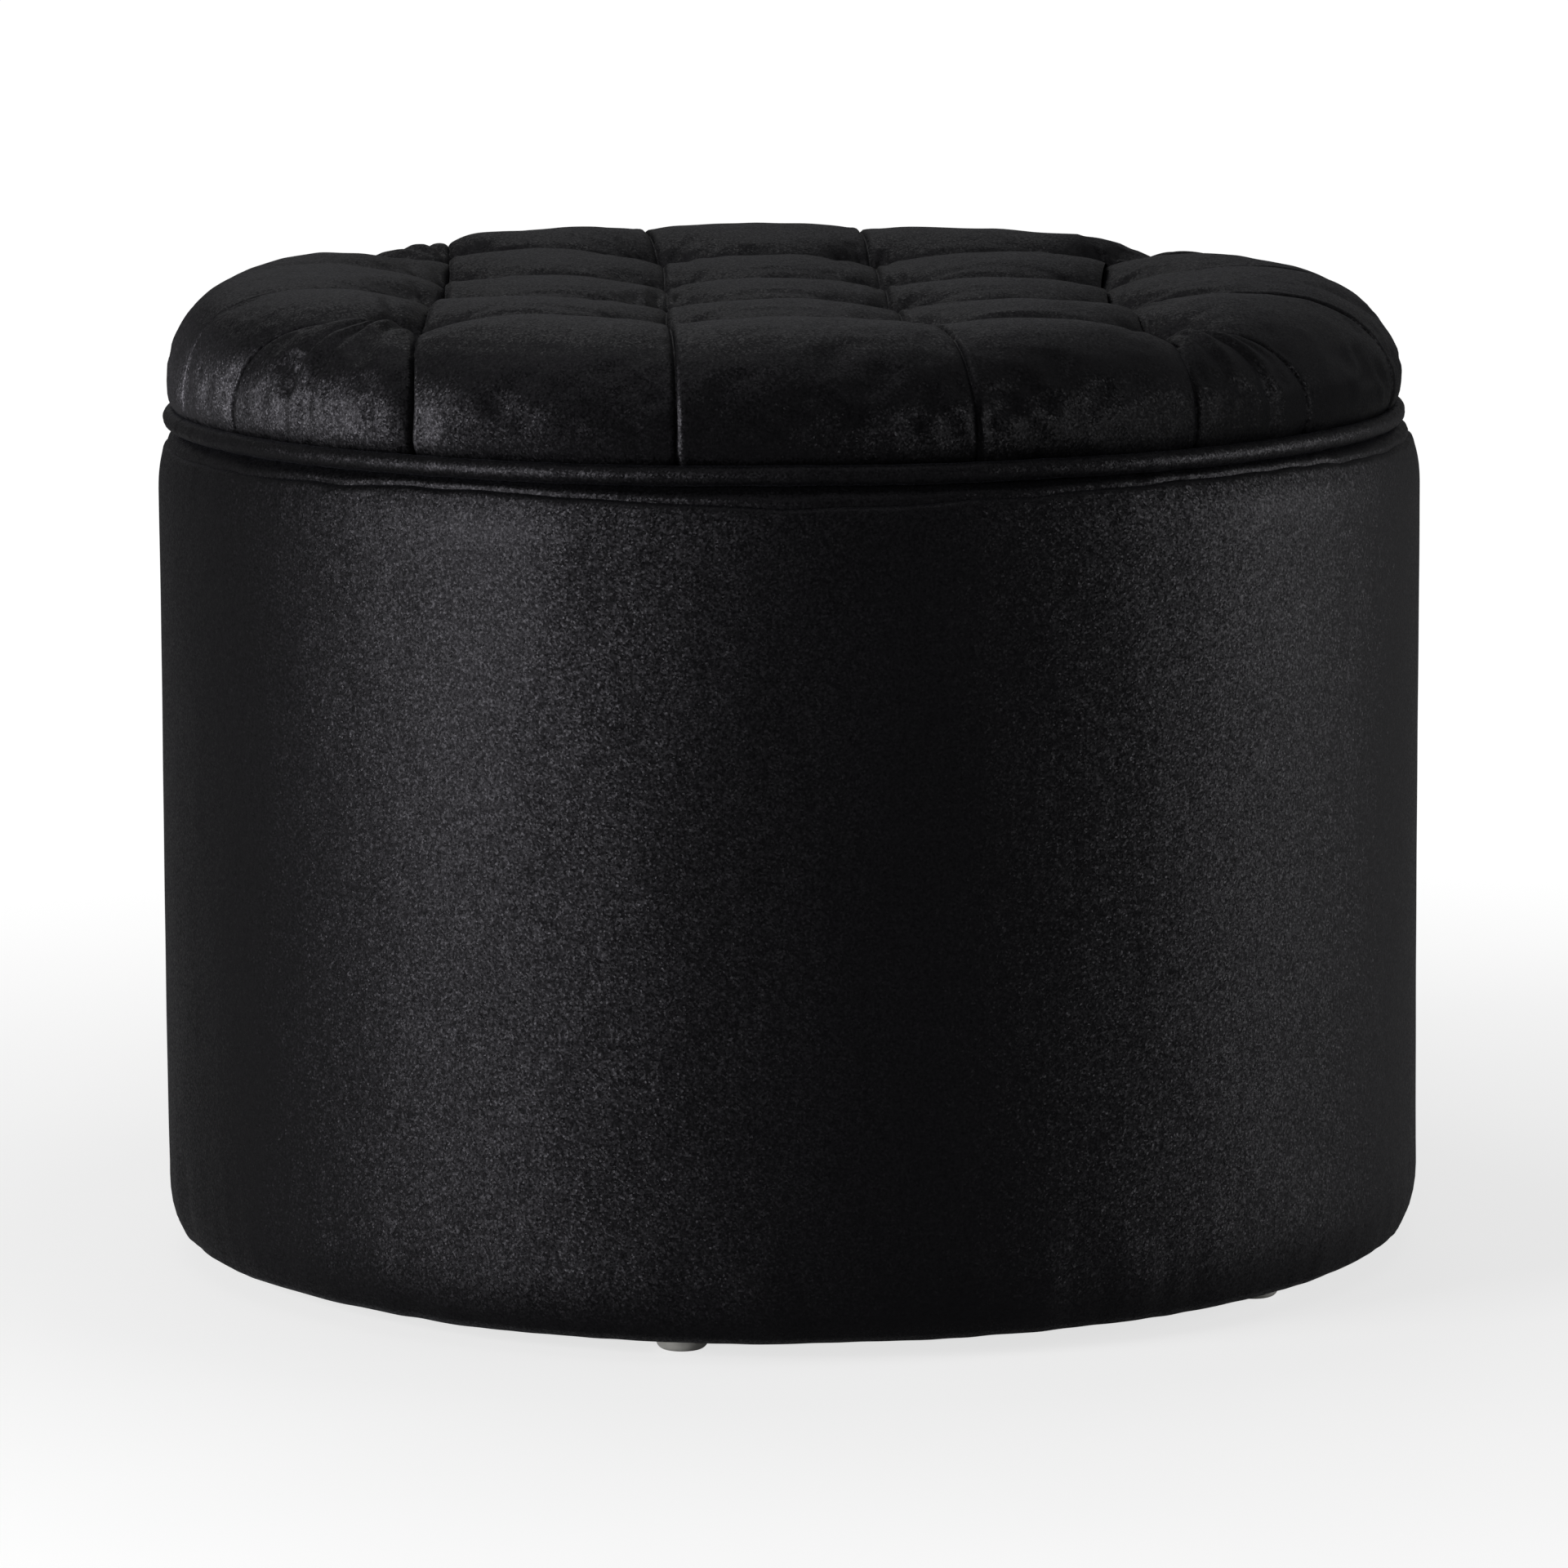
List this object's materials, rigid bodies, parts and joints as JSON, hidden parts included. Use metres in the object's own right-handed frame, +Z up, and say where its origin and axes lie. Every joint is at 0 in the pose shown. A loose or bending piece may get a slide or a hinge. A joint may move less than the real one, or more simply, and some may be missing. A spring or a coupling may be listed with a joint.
{
  "type": "storage ottoman",
  "caption": "Round storage ottoman in black velvet: a soft-edged drum on low glides with a tufted, piped cushion lid that lifts off the lined storage space.",
  "frame": {"origin": "on the floor, under the middle of the drum", "axes": "+Z up, -Y towards the side the picture shows, +X to its right"},
  "size_m": [0.5599, 0.56, 0.4375],
  "materials": {
    "velvet": "black velvet with a short, brushed pile",
    "plywood": "raw sanded plywood",
    "pine": "raw sawn softwood",
    "hardboard": "smooth brown hardboard",
    "foam": "open-cell upholstery foam",
    "lining_cloth": "black non-woven cloth",
    "glide_plastic": "pale moulded plastic",
    "cord": "twisted cotton cord",
    "zinc_steel": "zinc-plated steel"
  },
  "bodies": {
    "base": {"bottom_board": "plywood", "post_1": "pine", "post_2": "pine", "post_3": "pine", "post_4": "pine", "post_5": "pine", "post_6": "pine", "post_7": "pine", "post_8": "pine", "top_ring": "plywood", "post_screws": "zinc_steel", "drum_wall": "hardboard", "inner_wall": "hardboard", "foam_wrap": "foam", "rim_pad": "foam", "side_cover": "velvet", "rim_cover": "velvet", "wall_lining": "lining_cloth", "floor_lining": "lining_cloth", "dust_cover": "lining_cloth", "glide_1": "glide_plastic", "glide_2": "glide_plastic", "glide_3": "glide_plastic", "glide_4": "glide_plastic", "glide_5": "glide_plastic", "glide_nails": "zinc_steel"},
    "lid": {"lid_board": "plywood", "lid_foam": "foam", "lid_cover": "velvet", "welt_cord": "cord", "welt_sleeve": "velvet", "tuft_button_1": "velvet", "tuft_button_2": "velvet", "tuft_button_3": "velvet", "tuft_button_4": "velvet", "tuft_button_5": "velvet", "tuft_button_6": "velvet", "tuft_button_7": "velvet", "tuft_button_8": "velvet", "tuft_button_9": "velvet", "tuft_button_10": "velvet", "tuft_button_11": "velvet", "tuft_button_12": "velvet", "tuft_button_13": "velvet", "tuft_button_14": "velvet", "tuft_button_15": "velvet", "tuft_button_16": "velvet", "tuft_ties": "cord", "tuft_washers": "zinc_steel", "lid_lining": "lining_cloth", "locating_cleat_1": "pine", "locating_cleat_2": "pine", "locating_cleat_3": "pine", "locating_cleat_4": "pine", "cleat_screws": "zinc_steel"}
  },
  "joints": [
    {"name": "lid_lift", "type": "slide", "parent": "base", "child": "lid", "axis": [0, 0, 1], "range_m": [0, 0.3]}
  ]
}
